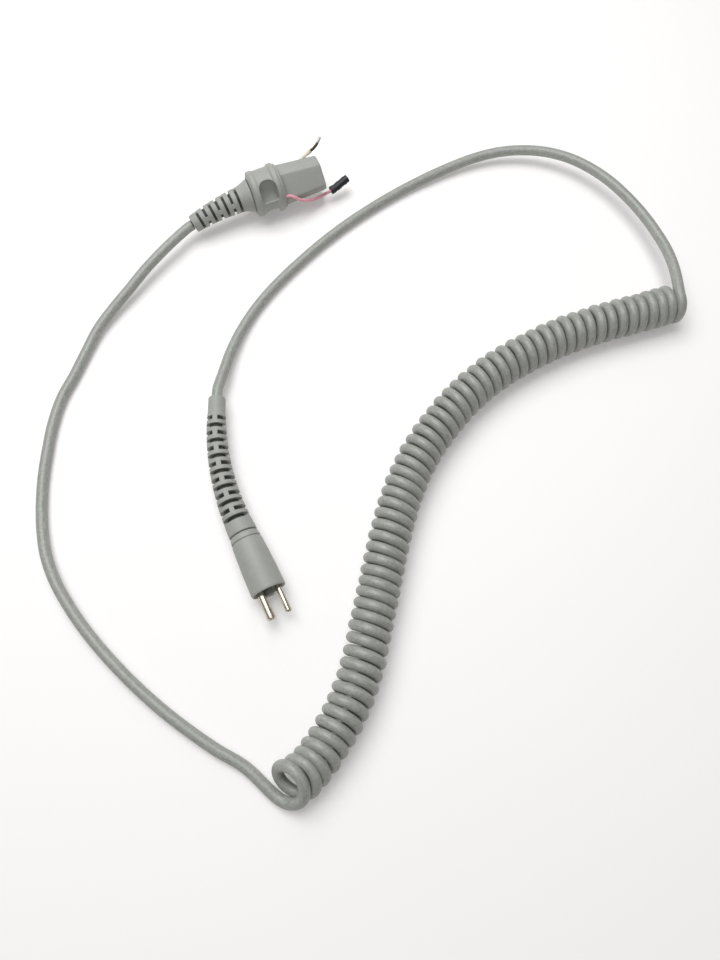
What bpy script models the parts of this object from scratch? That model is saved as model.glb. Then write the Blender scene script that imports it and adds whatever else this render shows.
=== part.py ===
"""Coiled replacement cord set of a dental handpiece, laid out on a table.

A two-pin plug with a slotted boot, a curly two-core cord, and the moulded end
that slides into the back of the handpiece, with its two loose leads.

Frame: metres, +Z up, the table at z = 0. The plug's axis runs along Y and its
pins point along -Y. The origin is under the middle of the two end fittings.
Lengths below are written in millimetres and turned into metres by MM.
"""
import math

import bmesh
import bpy
from mathutils import Matrix, Vector

MM = 0.001
GAP = 0.3                       # between neighbouring solids

# --- driving dimensions, millimetres -------------------------------------------------
CORD_DIA = 4.4
BORE_DIA = CORD_DIA + 2 * GAP
STRAIGHT_END = 3.0              # a free run leaves its fitting straight for this far

PLUG_X = -50.5                  # plug axis
PLUG_FACE_Y = -82.9             # plane of the plug's front rim
SHELL_DIA = 13.5
SHELL_LENGTH = 24.0
SHELL_WALL = 1.1
PIN_LARGE_DIA = 3.0
PIN_SMALL_DIA = 2.0
PIN_REACH = 10.0                # out of the front rim
PIN_LARGE_X = -3.1              # from the plug axis
PIN_SMALL_X = 3.75
KEY_RADIUS = 1.5                # half-round key between the pins

BOOT_NECK = 5.3                 # smooth part of the plug boot behind the shell
BOOT_LEVELS = 14
BOOT_PITCH = 3.25
BOOT_BEND = math.radians(24)    # bend at rest, spread over the slotted part
BOOT_COLLAR = 8.0
SLOT = 1.35
WEB = 1.9

END_X = 13.0                    # back face of the handpiece collar, on its axis
END_Y = 80.4
END_TURN = math.radians(-3.0)   # direction of the handpiece axis, from +X
COLLAR_DIA = 21.0
COLLAR_LENGTH = 15.0
TONGUE_LENGTH = 18.0
END_ROLL = math.radians(40)     # the collar lies rolled about its own axis

COIL_DIA = 16.5
COIL_INSET = 2.6                # the coil's solid starts this far inside its end turns

# --- the cord's route, millimetres ----------------------------------------------------
PLUG_RUN = [
    (-34.9, 3.7, 6.2), (-31.4, 8.1, 5.4), (-24.7, 16.5, 4.1), (-17.2, 24.1, 3.0),
    (-8.7, 30.8, 2.4), (0.5, 36.4, 2.2), (10.3, 41.1, 2.2), (20.3, 45.2, 2.2),
    (30.4, 48.9, 2.2), (40.8, 52.2, 2.2), (51.3, 54.9, 2.2), (61.9, 57.1, 2.2),
    (72.6, 58.8, 2.3), (83.4, 59.9, 2.6), (94.2, 60.4, 3.1), (105.0, 60.3, 3.7),
    (115.7, 59.3, 4.5), (126.1, 56.8, 5.4), (135.8, 52.5, 6.2), (144.5, 46.3, 7.1),
    (151.6, 38.3, 8.0), (157.0, 28.9, 8.6), (160.8, 18.7, 9.0), (163.0, 8.1, 9.3),
    (163.8, -2.7, 9.7), (163.1, -13.5, 10.4), (161.0, -24.1, 11.6), (157.9, -34.3, 13.1),
]
COIL_AXIS = [
    (-76.4, -149.4), (-71.8, -148.2), (-65.3, -145.9), (-58.4, -142.5), (-46.8, -135.7),
    (-36.6, -127.3), (-27.5, -117.6), (-19.2, -107.2), (-11.0, -96.8), (-2.7, -86.5),
    (6.0, -76.5), (15.4, -67.1), (25.8, -58.9), (37.2, -52.1), (49.4, -46.8),
    (62.1, -42.9), (75.1, -40.6), (88.3, -39.6), (101.6, -39.6), (114.8, -40.5),
    (128.0, -42.3), (141.0, -44.7), (154.1, -47.2),
]
TAIL_RUN = [
    (-77.8, -146.2, 2.2), (-80.6, -140.9, 2.2), (-84.2, -135.1, 2.2), (-89.9, -125.7, 2.4),
    (-95.8, -116.3, 2.6), (-101.3, -106.6, 2.8), (-106.2, -96.7, 3.0), (-110.6, -86.5, 3.1),
    (-114.5, -76.0, 3.3), (-117.8, -65.3, 3.5), (-120.3, -54.4, 3.6), (-121.9, -43.3, 3.5),
    (-122.0, -32.2, 3.0), (-120.2, -21.3, 2.4), (-117.0, -10.7, 2.2), (-112.8, -0.3, 2.2),
    (-107.7, 9.8, 2.2), (-101.9, 19.3, 2.2), (-95.1, 28.1, 2.2), (-87.3, 36.2, 2.2),
    (-79.2, 43.8, 2.4), (-70.6, 50.8, 3.0), (-61.4, 57.1, 3.9), (-52.0, 63.1, 5.1),
    (-42.3, 68.5, 6.2), (-32.6, 73.2, 6.9), (-24.5, 76.7, 7.3),
]

GREY = (0.36, 0.37, 0.35)
DARK_GREY = (0.18, 0.185, 0.175)


def clear_scene():
    for old in list(bpy.data.objects):
        bpy.data.objects.remove(old)


def material(name, colour, roughness, metallic=0.0):
    made = bpy.data.materials.new(name)
    made.use_nodes = True
    shader = made.node_tree.nodes["Principled BSDF"]
    shader.inputs["Base Color"].default_value = (*colour, 1.0)
    shader.inputs["Roughness"].default_value = roughness
    shader.inputs["Metallic"].default_value = metallic
    return made


def add_object(name, shape, finish):
    """Put a bmesh into the scene under a name, with a material of its own."""
    bmesh.ops.recalc_face_normals(shape, faces=shape.faces)
    mesh = bpy.data.meshes.new(name)
    shape.to_mesh(mesh)
    shape.free()
    mesh.shade_smooth()
    mesh.set_sharp_from_angle(angle=math.radians(35))
    made = bpy.data.objects.new(name, mesh)
    bpy.context.scene.collection.objects.link(made)
    if finish:
        mesh.materials.append(material(name, *finish))
    return made


def add_cutter(name, shape):
    made = add_object(name, shape, None)
    made.hide_render = True
    made.display_type = "WIRE"
    return made


def cut(target, cutter, operation="DIFFERENCE"):
    step = target.modifiers.new(cutter.name, "BOOLEAN")
    step.operation = operation
    step.solver = "EXACT"
    step.object = cutter


# --- centre lines ---------------------------------------------------------------------
class Line:
    """A smooth curve through points in millimetres, read by its arc length."""

    STEPS = 24

    def __init__(self, points):
        knots = [Vector(p) for p in points]
        first = knots[0] * 2 - knots[1]
        last = knots[-1] * 2 - knots[-2]
        knots = [first, *knots, last]
        self.points = []
        for i in range(1, len(knots) - 2):
            for k in range(self.STEPS):
                self.points.append(self.between(knots[i - 1:i + 3], k / self.STEPS))
        self.points.append(knots[-2])
        self.at = [0.0]
        for a, b in zip(self.points, self.points[1:]):
            self.at.append(self.at[-1] + (b - a).length)
        self.length = self.at[-1]

    @staticmethod
    def between(four, t):
        a, b, c, d = four
        return 0.5 * (2 * b + (c - a) * t + (2 * a - 5 * b + 4 * c - d) * t ** 2
                      + (3 * b - a - 3 * c + d) * t ** 3)

    def place(self, distance):
        """The point at a distance along the curve, which may run past either end."""
        if distance <= 0:
            return self.points[0] + (self.points[0] - self.points[1]).normalized() * -distance
        if distance >= self.length:
            step = (self.points[-1] - self.points[-2]).normalized()
            return self.points[-1] + step * (distance - self.length)
        low = 0
        high = len(self.at) - 1
        while high - low > 1:
            middle = (low + high) // 2
            if self.at[middle] <= distance:
                low = middle
            else:
                high = middle
        part = (distance - self.at[low]) / (self.at[high] - self.at[low])
        return self.points[low].lerp(self.points[high], part)

    def frame(self, distance):
        """Matrix whose Z runs along the curve and whose Y is as near upright as it can be."""
        ahead = self.place(distance + 0.5) - self.place(distance - 0.5)
        return frame_along(self.place(distance), ahead)


def frame_along(point, direction):
    z = direction.normalized()
    x = Vector((0, 0, 1)).cross(z).normalized()
    y = z.cross(x)
    turn = Matrix((x, y, z)).transposed().to_4x4()
    return Matrix.Translation(point) @ turn


def shift(x=0.0, y=0.0, z=0.0):
    return Matrix.Translation((x, y, z))


# --- shapes ---------------------------------------------------------------------------
def ring(shape, frame, outline):
    """A ring of vertices: an outline of (x, y) millimetres in a frame."""
    return [shape.verts.new((frame @ Vector((x, y, 0))) * MM) for x, y in outline]


def circle(radius, sides):
    angles = [2 * math.pi * i / sides for i in range(sides)]
    return [(radius * math.cos(a), radius * math.sin(a)) for a in angles]


def loft(sections, shape=None):
    """A closed body through (frame, outline) sections that all have as many points."""
    shape = shape or bmesh.new()
    rings = [ring(shape, frame, outline) for frame, outline in sections]
    for a, b in zip(rings, rings[1:]):
        for i in range(len(a)):
            j = (i + 1) % len(a)
            shape.faces.new((a[i], a[j], b[j], b[i]))
    shape.faces.new(rings[0])
    shape.faces.new(rings[-1])
    return shape


def turned(frame, profile, sides, shape=None):
    """A solid of round sections: profile is (distance along the frame's Z, radius)."""
    return loft([(frame @ shift(z=z), circle(r, sides)) for z, r in profile], shape)


def box(frame, size, shape=None):
    shape = shape or bmesh.new()
    x, y, z = (s / 2 for s in size)
    outline = [(-x, -y), (x, -y), (x, y), (-x, y)]
    return loft([(frame @ shift(z=-z), outline), (frame @ shift(z=z), outline)], shape)


def rounded_box_outline(width, height, radius, corner_steps=4):
    outline = []
    for quarter in range(4):
        angle = quarter * math.pi / 2
        corner_x = (width / 2 - radius) * (1 if quarter in (0, 3) else -1)
        corner_y = (height / 2 - radius) * (1 if quarter in (0, 1) else -1)
        for k in range(corner_steps + 1):
            a = angle + (math.pi / 2) * k / corner_steps
            outline.append((corner_x + radius * math.cos(a), corner_y + radius * math.sin(a)))
    return outline


def swept(line, start, stop, radius, sides, steps):
    """A round rod along part of a line; radius is a number or a function of the distance."""
    sections = []
    for k in range(steps + 1):
        s = start + (stop - start) * k / steps
        r = radius(s) if callable(radius) else radius
        sections.append((line.frame(s), circle(r, sides)))
    return loft(sections)


def slot_cutters(name, line, starts, reach, roll, first):
    """Boxes that cut pairs of slots through a boot wall, each level a quarter turn on."""
    shape = bmesh.new()
    for level, s in enumerate(starts):
        quarter = math.pi / 2 * ((level + first) % 2)
        frame = line.frame(s) @ Matrix.Rotation(roll + quarter, 4, "Z")
        for side in (-1, 1):
            middle = side * (WEB / 2 + reach / 2)
            box(frame @ shift(x=middle), (reach, 2 * reach, SLOT), shape)
    return add_cutter(name, shape)


# --- plug -----------------------------------------------------------------------------
def plug_line():
    """From the front rim back along the shell, through the bent boot to the collar's end."""
    straight = SHELL_LENGTH + GAP + BOOT_NECK
    arc = BOOT_LEVELS * BOOT_PITCH
    radius = arc / BOOT_BEND
    height = SHELL_DIA / 2
    points = []
    for s in (0.0, 10.0, 20.0, straight):
        points.append((PLUG_X, PLUG_FACE_Y + s, height))
    for k in range(1, 9):
        a = BOOT_BEND * k / 8
        points.append((PLUG_X + radius * (1 - math.cos(a)),
                       PLUG_FACE_Y + straight + radius * math.sin(a), height))
    x, y, z = points[-1]
    for s in (BOOT_COLLAR / 2, BOOT_COLLAR):
        points.append((x + s * math.sin(BOOT_BEND), y + s * math.cos(BOOT_BEND), z))
    return Line(points)


def build_plug(line):
    # Z of this frame runs back into the plug, X across the pins and Y down
    front = frame_along(Vector((PLUG_X, PLUG_FACE_Y, SHELL_DIA / 2)), Vector((0, 1, 0)))
    front = front @ Matrix.Rotation(math.pi, 4, "Z")
    block_dia = SHELL_DIA - 2 * SHELL_WALL - 2 * GAP
    block_front = 1.5
    block_back = 9.0
    cup_back = 12.0

    shell = add_object("plug_shell", turned(front, [
        (0.0, 6.2), (0.15, 6.55), (0.6, SHELL_DIA / 2), (9.0, 6.6), (16.0, 6.25),
        (20.8, 5.95), (21.0, 5.6), (21.4, 5.6), (21.6, 5.85), (SHELL_LENGTH, 5.45),
    ], 32), (GREY, 0.55))
    cavity = turned(front, [
        (-1.0, block_dia / 2 + GAP),
        (14.0, block_dia / 2 + GAP), (18.5, 3.6), (22.0, 3.4),
        (22.01, BORE_DIA / 2), (SHELL_LENGTH + 1, BORE_DIA / 2),
    ], 24)
    cut(shell, add_cutter("cut_plug_cavity", cavity))

    block = add_object("plug_contact_block", turned(front, [
        (block_front, block_dia / 2 - 0.2), (block_front + 0.2, block_dia / 2),
        (block_back, block_dia / 2),
    ], 24), (DARK_GREY, 0.6))
    boss = bmesh.new()
    half_round = [(-KEY_RADIUS, -1.5), (KEY_RADIUS, -1.5)]
    for k in range(9):
        a = math.pi * k / 8
        half_round.append((KEY_RADIUS * math.cos(a), KEY_RADIUS * math.sin(a)))
    key = front @ shift(x=(PIN_LARGE_X + PIN_SMALL_X) / 2 - 0.3, y=1.6)
    loft([(key @ shift(z=-0.2), half_round), (key @ shift(z=4.0), half_round)], boss)
    cut(block, add_cutter("add_plug_key", boss), "UNION")
    holes = bmesh.new()
    for x, dia in ((PIN_LARGE_X, PIN_LARGE_DIA), (PIN_SMALL_X, PIN_SMALL_DIA)):
        turned(front @ shift(x=x), [(-1.0, dia / 2 + GAP), (11.0, dia / 2 + GAP)], 20, holes)
    cut(block, add_cutter("cut_pin_holes", holes))

    for name, x, dia in (("contact_pin_large", PIN_LARGE_X, PIN_LARGE_DIA),
                         ("contact_pin_small", PIN_SMALL_X, PIN_SMALL_DIA)):
        r = dia / 2
        pin = add_object(name, turned(front @ shift(x=x), [
            (-PIN_REACH, r - 0.35), (-PIN_REACH + 0.35, r), (cup_back, r),
        ], 20), ((0.72, 0.68, 0.6), 0.25, 1.0))
        cup = turned(front @ shift(x=x), [(cup_back - 2.0, r - 0.45), (cup_back + 1, r - 0.45)], 16)
        cut(pin, add_cutter("cut_cup_" + name, cup))
        joint = name.replace("contact_pin", "solder_joint")
        solder = turned(front @ shift(x=x), [
            (cup_back + GAP, r - 0.1), (cup_back + GAP + 0.5, r - 0.2),
            (cup_back + GAP + 1.0, 0.35),
        ], 16)
        add_object(joint, solder, ((0.6, 0.6, 0.6), 0.35, 1.0))
    build_plug_wiring(front, cup_back + 2 * GAP + 1.0)


def build_plug_wiring(front, solder_back):
    """Two leads from the solder joints to the crimp ferrule on the end of the jacket."""
    ferrule_front = 19.2
    ferrule = turned(front, [
        (ferrule_front, 2.85), (ferrule_front + 0.2, 3.05), (21.5, 3.05), (21.7, 2.85),
    ], 24)
    ferrule = add_object("plug_crimp_ferrule", ferrule, ((0.7, 0.7, 0.68), 0.3, 1.0))
    bore = turned(front, [(ferrule_front - 1, 2.5), (23.0, 2.5)], 24)
    cut(ferrule, add_cutter("cut_plug_ferrule", bore))
    for name, x, colour in (("plug_lead_pink", PIN_LARGE_X, (0.8, 0.35, 0.45)),
                            ("plug_lead_clear", PIN_SMALL_X, (0.8, 0.78, 0.7))):
        side = math.copysign(0.9, x)
        points = [(x, 0, solder_back), (x * 0.95, 0, solder_back + 1.6),
                  (side * 1.6, 0, solder_back + 3.2), (side, 0, solder_back + 4.6),
                  (side, 0, 18.9 + 0.6)]
        lead = Line([front @ Vector(p) for p in points])
        add_object(name, swept(lead, 0, lead.length, 0.6, 10, 10), (colour, 0.5))


def boot_radius(inner_end, outer_end, start, stop):
    """A boot's outer radius, tapering between two distances along its line."""
    def radius(s):
        part = min(max((s - start) / (stop - start), 0.0), 1.0)
        return inner_end + (outer_end - inner_end) * part
    return radius


def build_plug_boot(line):
    start = SHELL_LENGTH + GAP
    slots_start = start + BOOT_NECK
    slots_end = slots_start + BOOT_LEVELS * BOOT_PITCH
    end = line.length
    taper = boot_radius(5.35, 3.7, start, slots_end)
    sections = [(start, 5.35), (start + 3.0, 5.2)]
    for level in range(BOOT_LEVELS + 1):
        s = slots_start + (level - 0.15) * BOOT_PITCH
        sections.append((s, taper(s)))
    sections += [(slots_end + 1.0, 3.5), (end - 0.5, 3.45), (end, 3.1)]
    boot = loft([(line.frame(s), circle(r, 20)) for s, r in sections])
    boot = add_object("plug_boot", boot, (GREY, 0.6))
    bore = swept(line, start - 1, end + 1, BORE_DIA / 2, 12, 12)
    cut(boot, add_cutter("cut_plug_boot_bore", bore))
    levels = [slots_start + (level + 0.5) * BOOT_PITCH for level in range(BOOT_LEVELS)]
    cut(boot, slot_cutters("cut_plug_boot_slots", line, levels, 6.0, 0.0, 1))


def build_cord_in_plug(line):
    """The jacket's end, from the boot collar to the ferrule inside the shell."""
    start = 19.6
    core = swept(line, start, line.length, CORD_DIA / 2, 12, 22)
    add_object("cord_end_in_plug", core, (GREY, 0.6))


# --- cord -----------------------------------------------------------------------------
def add_tube(name, points):
    """A free stretch of cord: a bevelled curve through evenly spaced points."""
    line = Line(points)
    inner = line.length - 2 * STRAIGHT_END
    steps = round(inner / (2.4 * CORD_DIA))
    stations = [0.0, *(STRAIGHT_END + inner * k / steps for k in range(steps + 1)), line.length]
    curve = bpy.data.curves.new(name, "CURVE")
    curve.dimensions = "3D"
    curve.resolution_u = 1
    curve.render_resolution_u = 0
    curve.bevel_depth = CORD_DIA / 2 * MM
    curve.bevel_resolution = 2
    curve.use_fill_caps = True
    spline = curve.splines.new("POLY")
    spline.points.add(len(stations) - 1)
    for point, station in zip(spline.points, stations):
        point.co = (*(line.place(station) * MM), 1.0)
    curve.materials.append(material(name, GREY, 0.6))
    tube = bpy.data.objects.new(name, curve)
    bpy.context.scene.collection.objects.link(tube)


def coil_line():
    return Line([(x, y, COIL_DIA / 2) for x, y in COIL_AXIS])


def build_coil(line):
    coil = swept(line, COIL_INSET, line.length - COIL_INSET, COIL_DIA / 2, 20, 26)
    add_object("cord_coil", coil, (GREY, 0.6))


def build_cord(plug_axis, end_axis):
    """The run to the plug, the coil, and the run to the handpiece end."""
    axis = coil_line()
    build_coil(axis)
    turn_radius = (COIL_DIA - CORD_DIA) / 2

    collar = plug_axis.frame(plug_axis.length)
    leave = [collar @ Vector((0, 0, GAP)), collar @ Vector((0, 0, STRAIGHT_END))]
    last = axis.frame(axis.length)
    top = last @ Vector((0, turn_radius, 0))
    join = [last @ Vector((4.0, turn_radius - 0.2, 0)), top]
    add_tube("cord_plug_run", leave + PLUG_RUN + join)

    foot = axis.frame(0) @ Vector((0, -turn_radius, 0))
    boot_end = end_axis.frame(end_axis.length)
    arrive = [boot_end @ Vector((0, 0, STRAIGHT_END)), boot_end @ Vector((0, 0, GAP))]
    add_tube("cord_tail_run", [foot] + TAIL_RUN + arrive)


# --- handpiece end --------------------------------------------------------------------
END_NECK = 4.6
END_LEVELS = 7
END_PITCH = 3.1
END_TIP = 1.9
SPIGOT_START = 12.7             # the tongue's round root, inside the collar's front bore
SPIGOT_DIA = 9.8
TONGUE_ROOT = (17.2, 12.6)
TONGUE_TIP = (14.6, 11.4)
LEAD_DIA = 1.3
LEAD_HOLE = 2.1
PINK_EXIT = (-4.2, 7.2)         # where each lead leaves the collar's face, rolled axes
CLEAR_EXIT = (4.2, -7.2)


def end_frame():
    """Origin at the collar's back face, Z towards the handpiece, Y up."""
    direction = Vector((math.cos(END_TURN), math.sin(END_TURN), 0))
    return frame_along(Vector((END_X, END_Y, COLLAR_DIA / 2)), direction)


def rolled_frame():
    return end_frame() @ Matrix.Rotation(END_ROLL, 4, "Z")


def end_boot_line():
    """From the collar's back face, through the drooping boot to its tip."""
    length = END_NECK + END_LEVELS * END_PITCH + END_TIP
    frame = end_frame()
    points = []
    for k in range(9):
        t = k / 8
        points.append(frame @ Vector((-2.2 * t ** 2, -2.8 * t ** 2, -length * t)))
    return Line(points)


def build_end_collar():
    """Two flanges with a recessed waist between them, and three windows in the waist."""
    frame = rolled_frame()
    r = COLLAR_DIA / 2
    collar = add_object("handpiece_collar", turned(frame, [
        (0.0, r - 1.2), (0.5, r - 0.6), (2.8, r - 0.55), (3.0, r - 1.0),
        (9.8, r - 0.75), (10.2, r), (13.2, r), (13.6, r - 0.8),
        (COLLAR_LENGTH - 0.2, r - 0.8), (COLLAR_LENGTH, r - 1.0),
    ], 36), (GREY, 0.55))
    bore = turned(frame, [
        (-1, 3.7), (8.0, 3.7), (10.2, 8.6), (12.4, 8.6),
        (12.41, SPIGOT_DIA / 2 + GAP), (COLLAR_LENGTH + 1, SPIGOT_DIA / 2 + GAP),
    ], 24)
    cut(collar, add_cutter("cut_collar_bore", bore))
    windows = bmesh.new()
    for quarter in (1, 2, 3):
        window = frame @ Matrix.Rotation(math.pi / 2 * quarter, 4, "Z")
        box(window @ shift(x=r - 0.4, z=6.4), (4.4, 10.0, 6.4), windows)
    cut(collar, add_cutter("cut_collar_windows", windows))
    exits = bmesh.new()
    for x, y in (PINK_EXIT, CLEAR_EXIT):
        turned(frame @ shift(x, y),
               [(11.4, LEAD_HOLE / 2), (COLLAR_LENGTH + 1, LEAD_HOLE / 2)], 12, exits)
    cut(collar, add_cutter("cut_lead_exits", exits))


def build_tongue():
    """The flat-sided tongue that slides into the handpiece, on a round spigot."""
    frame = rolled_frame()
    base = COLLAR_LENGTH + GAP
    tip = base + TONGUE_LENGTH
    steps = 4
    round_root = circle(SPIGOT_DIA / 2, 4 * (steps + 1))
    root = rounded_box_outline(*TONGUE_ROOT, 4.4, steps)
    near_tip = rounded_box_outline(*TONGUE_TIP, 4.0, steps)
    end = rounded_box_outline(TONGUE_TIP[0] - 1.2, TONGUE_TIP[1] - 1.2, 3.4, steps)
    tongue = loft([
        (frame @ shift(z=SPIGOT_START), round_root), (frame @ shift(z=base), round_root),
        (frame @ shift(z=base), root), (frame @ shift(x=-0.3, z=tip - 0.6), near_tip),
        (frame @ shift(x=-0.3, z=tip), end),
    ])
    add_object("handpiece_tongue", tongue, (GREY, 0.55))


def build_end_boot(line):
    slots_start = END_NECK
    slots_end = END_NECK + END_LEVELS * END_PITCH
    end = line.length
    taper = boot_radius(5.5, 3.9, slots_start, slots_end)
    sections = [(GAP, 7.2), (1.2, 6.7), (END_NECK - 1.0, 5.5)]
    for level in range(END_LEVELS + 1):
        s = slots_start + level * END_PITCH
        sections.append((s, taper(s)))
    sections += [(end - 0.6, 3.8), (end, 3.3)]
    boot = loft([(line.frame(s), circle(r, 20)) for s, r in sections])
    boot = add_object("handpiece_boot", boot, (GREY, 0.6))
    bore = swept(line, -1, end + 1, BORE_DIA / 2, 12, 6)
    cut(boot, add_cutter("cut_end_boot_bore", bore))
    levels = [slots_start + (level + 0.5) * END_PITCH for level in range(END_LEVELS)]
    cut(boot, slot_cutters("cut_end_boot_slots", line, levels, 6.5, -END_ROLL, 1))


def build_cord_in_end(line):
    """The jacket's end in the boot, and the ferrule crimped on it in the collar's bore."""
    frame = end_frame()
    ahead = Line([line.place(line.length * k / 8) for k in range(8, -1, -1)]
                 + [frame @ Vector((0, 0, 2.0)), frame @ Vector((0, 0, 4.2))])
    core = swept(ahead, 0.0, ahead.length, CORD_DIA / 2, 12, 14)
    add_object("cord_end_in_handpiece_boot", core, (GREY, 0.6))
    ferrule = add_object("handpiece_crimp_ferrule", turned(frame, [
        (0.6, 2.9), (0.8, 3.1), (3.8, 3.1), (4.0, 2.9),
    ], 24), ((0.7, 0.7, 0.68), 0.3, 1.0))
    bore = turned(frame, [(-1, 2.5), (6, 2.5)], 24)
    cut(ferrule, add_cutter("cut_end_ferrule", bore))


def pink_lead_line():
    frame = rolled_frame()
    x, y = PINK_EXIT
    points = [
        (-0.3, 0.9, 4.5), (-0.4, 1.2, 7.5), (-2.4, 4.6, 10.2), (-3.8, 6.7, 11.2),
        (x, y, 12.5), (x, y, 14.0), (x, y, 15.5),
        (-5.4, 7.35, 17.6), (-7.6, 6.8, 20.2), (-9.3, 5.0, 23.2), (-9.7, 2.6, 26.6),
        (-9.4, 1.4, 30.0), (-8.9, 1.1, 33.0), (-8.4, 1.0, 36.0),
    ]
    return Line([frame @ Vector(p) for p in points])


def sleeve_line():
    frame = rolled_frame()
    points = [(-8.4, 1.0, 36.3), (-7.9, 0.9, 38.6), (-7.0, 0.8, 41.2), (-6.2, 0.8, 44.0)]
    return Line([frame @ Vector(p) for p in points])


def clear_lead_line():
    frame = rolled_frame()
    x, y = CLEAR_EXIT
    points = [
        (0.3, -0.9, 4.5), (0.4, -1.2, 7.5), (2.4, -4.6, 10.2), (3.8, -6.7, 11.2),
        (x, y, 12.5), (x, y, 14.0), (x, y, 15.5),
        (4.8, -7.6, 19.0), (6.0, -7.6, 23.0), (7.6, -7.0, 27.0), (9.2, -6.4, 31.5),
    ]
    return Line([frame @ Vector(p) for p in points])


def strands_line():
    frame = rolled_frame()
    points = [(9.3, -6.3, 31.8), (10.0, -6.6, 34.4), (11.2, -7.6, 37.0), (11.8, -8.0, 39.6)]
    return Line([frame @ Vector(p) for p in points])


def build_leads():
    pink = pink_lead_line()
    add_object("lead_pink", swept(pink, 0, pink.length, LEAD_DIA / 2, 8, 24),
               ((0.85, 0.4, 0.5), 0.45))
    sleeve_axis = sleeve_line()
    sleeve = add_object("heat_shrink_sleeve",
                        swept(sleeve_axis, 0, sleeve_axis.length, 1.45, 16, 6),
                        ((0.02, 0.02, 0.025), 0.6))
    bore = swept(sleeve_axis, -1, sleeve_axis.length + 1, 1.05, 12, 6)
    cut(sleeve, add_cutter("cut_sleeve_bore", bore))
    inside = swept(sleeve_axis, GAP, 6.5, 0.45, 8, 4)
    add_object("pink_lead_strands", inside, ((0.75, 0.7, 0.6), 0.35, 1.0))
    clear = clear_lead_line()
    add_object("lead_clear", swept(clear, 0, clear.length, LEAD_DIA / 2, 8, 20),
               ((0.85, 0.82, 0.72), 0.3))
    bare = strands_line()
    add_object("clear_lead_strands", swept(bare, 0, bare.length, 0.45, 8, 6),
               ((0.6, 0.58, 0.52), 0.35, 1.0))


def main():
    clear_scene()
    plug_axis = plug_line()
    end_axis = end_boot_line()
    build_plug(plug_axis)
    build_plug_boot(plug_axis)
    build_cord_in_plug(plug_axis)
    build_cord(plug_axis, end_axis)
    build_end_boot(end_axis)
    build_cord_in_end(end_axis)
    build_end_collar()
    build_tongue()
    build_leads()


main()
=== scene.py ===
"""Looks of a coiled replacement cord set of a dental handpiece, lying on a pale table.

The frame's solids hold the places. Each visible one is replaced by a finer piece here:
the cord is one jacket from boot to boot with its coil wound turn by turn, and the plug,
the two slotted boots, the collar, the tongue and the leads are turned, lofted and cut.
Lengths are written in millimetres and turned into metres by MM.
"""
import math

import bmesh
import bpy
import numpy as np
from mathutils import Matrix, Vector


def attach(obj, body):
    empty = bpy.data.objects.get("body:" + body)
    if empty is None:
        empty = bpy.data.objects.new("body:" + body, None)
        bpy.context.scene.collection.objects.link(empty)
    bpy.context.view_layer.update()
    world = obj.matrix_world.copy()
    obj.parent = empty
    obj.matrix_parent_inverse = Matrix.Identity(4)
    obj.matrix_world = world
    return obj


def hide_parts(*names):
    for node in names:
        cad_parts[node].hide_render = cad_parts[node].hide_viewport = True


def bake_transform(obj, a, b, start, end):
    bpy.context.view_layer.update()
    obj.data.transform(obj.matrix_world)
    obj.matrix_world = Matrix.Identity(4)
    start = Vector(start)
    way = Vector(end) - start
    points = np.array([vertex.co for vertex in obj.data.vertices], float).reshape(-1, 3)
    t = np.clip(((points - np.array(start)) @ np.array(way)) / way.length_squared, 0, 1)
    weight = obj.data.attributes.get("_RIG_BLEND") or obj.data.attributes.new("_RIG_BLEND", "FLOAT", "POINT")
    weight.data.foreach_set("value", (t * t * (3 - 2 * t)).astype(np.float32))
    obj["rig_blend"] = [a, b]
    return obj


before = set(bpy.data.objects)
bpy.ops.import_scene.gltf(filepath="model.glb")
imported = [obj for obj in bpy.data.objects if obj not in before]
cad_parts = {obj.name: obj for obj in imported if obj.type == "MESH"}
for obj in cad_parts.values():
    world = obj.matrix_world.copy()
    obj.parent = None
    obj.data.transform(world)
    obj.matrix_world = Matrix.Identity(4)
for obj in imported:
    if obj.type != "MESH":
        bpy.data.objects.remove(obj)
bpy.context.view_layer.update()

MM = 0.001
SHARP = math.radians(50)        # an edge that turns by more than this stays sharp
GAP = 0.3                       # clearance between two mouldings

# --- camera and light -----------------------------------------------------------------
CAMERA_PLACE = (-0.0391, -0.1369, 0.2749)
CAMERA_TARGET = (0.0, -0.0566, 0.0)
CAMERA_LENS = 27.04
TABLE_REACH = 3.0               # metres from the table's middle to its edges
FLOOR_COLOUR = (0.80, 0.793, 0.785)
GLOW_COLOUR = (1.0, 0.975, 0.965)
FLOOR_GLOW = 0.22
SKY_COLOUR = (1.0, 0.995, 0.985)
AMBIENT = 0.2
LIGHT_AIM = (0.0, -0.03, 0.0)
# Watts, size and place of each light
TOP_LIGHT = (2.9, 1.0, (-0.20, 0.15, 0.95))
KEY_LIGHT = (3.75, 0.52, (0.0, 0.25, 0.66))
BACK_LIGHT = (0.3, 0.2, (0.25, 0.62, 0.46))

# --- driving dimensions, millimetres ----------------------------------------------------
CORD_RADIUS = 2.2
CORD_SIDES = 20
RUN_STEP = 2.0
CORD_STUB = 3.0                 # straight cord where it leaves a boot

PLUG_X = -50.5
PLUG_FACE_Y = -82.9
SHELL_RADIUS = 6.75
SHELL_LENGTH = 24.0
PIN_REACH = 10.0
PINS = {"large": (-3.1, 1.65), "small": (3.75, 1.15)}     # place across the plug, radius
CUP_DEPTH = 2.0
CUP_WALL = 0.45
BLOCK_RADIUS = 5.3
KEY_PLACE = (0.1, 2.0)          # across the plug and down
KEY_RADIUS = 1.5
KEY_DROP = 2.4                  # the key's straight sides, from its round's middle
# Distances behind the plug's rim
CUP_BACK = 12.0
BLOCK_FACE = 1.5
BLOCK_BACK = 9.0
KEY_FRONT = -1.3
KEY_BACK = 4.0

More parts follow.
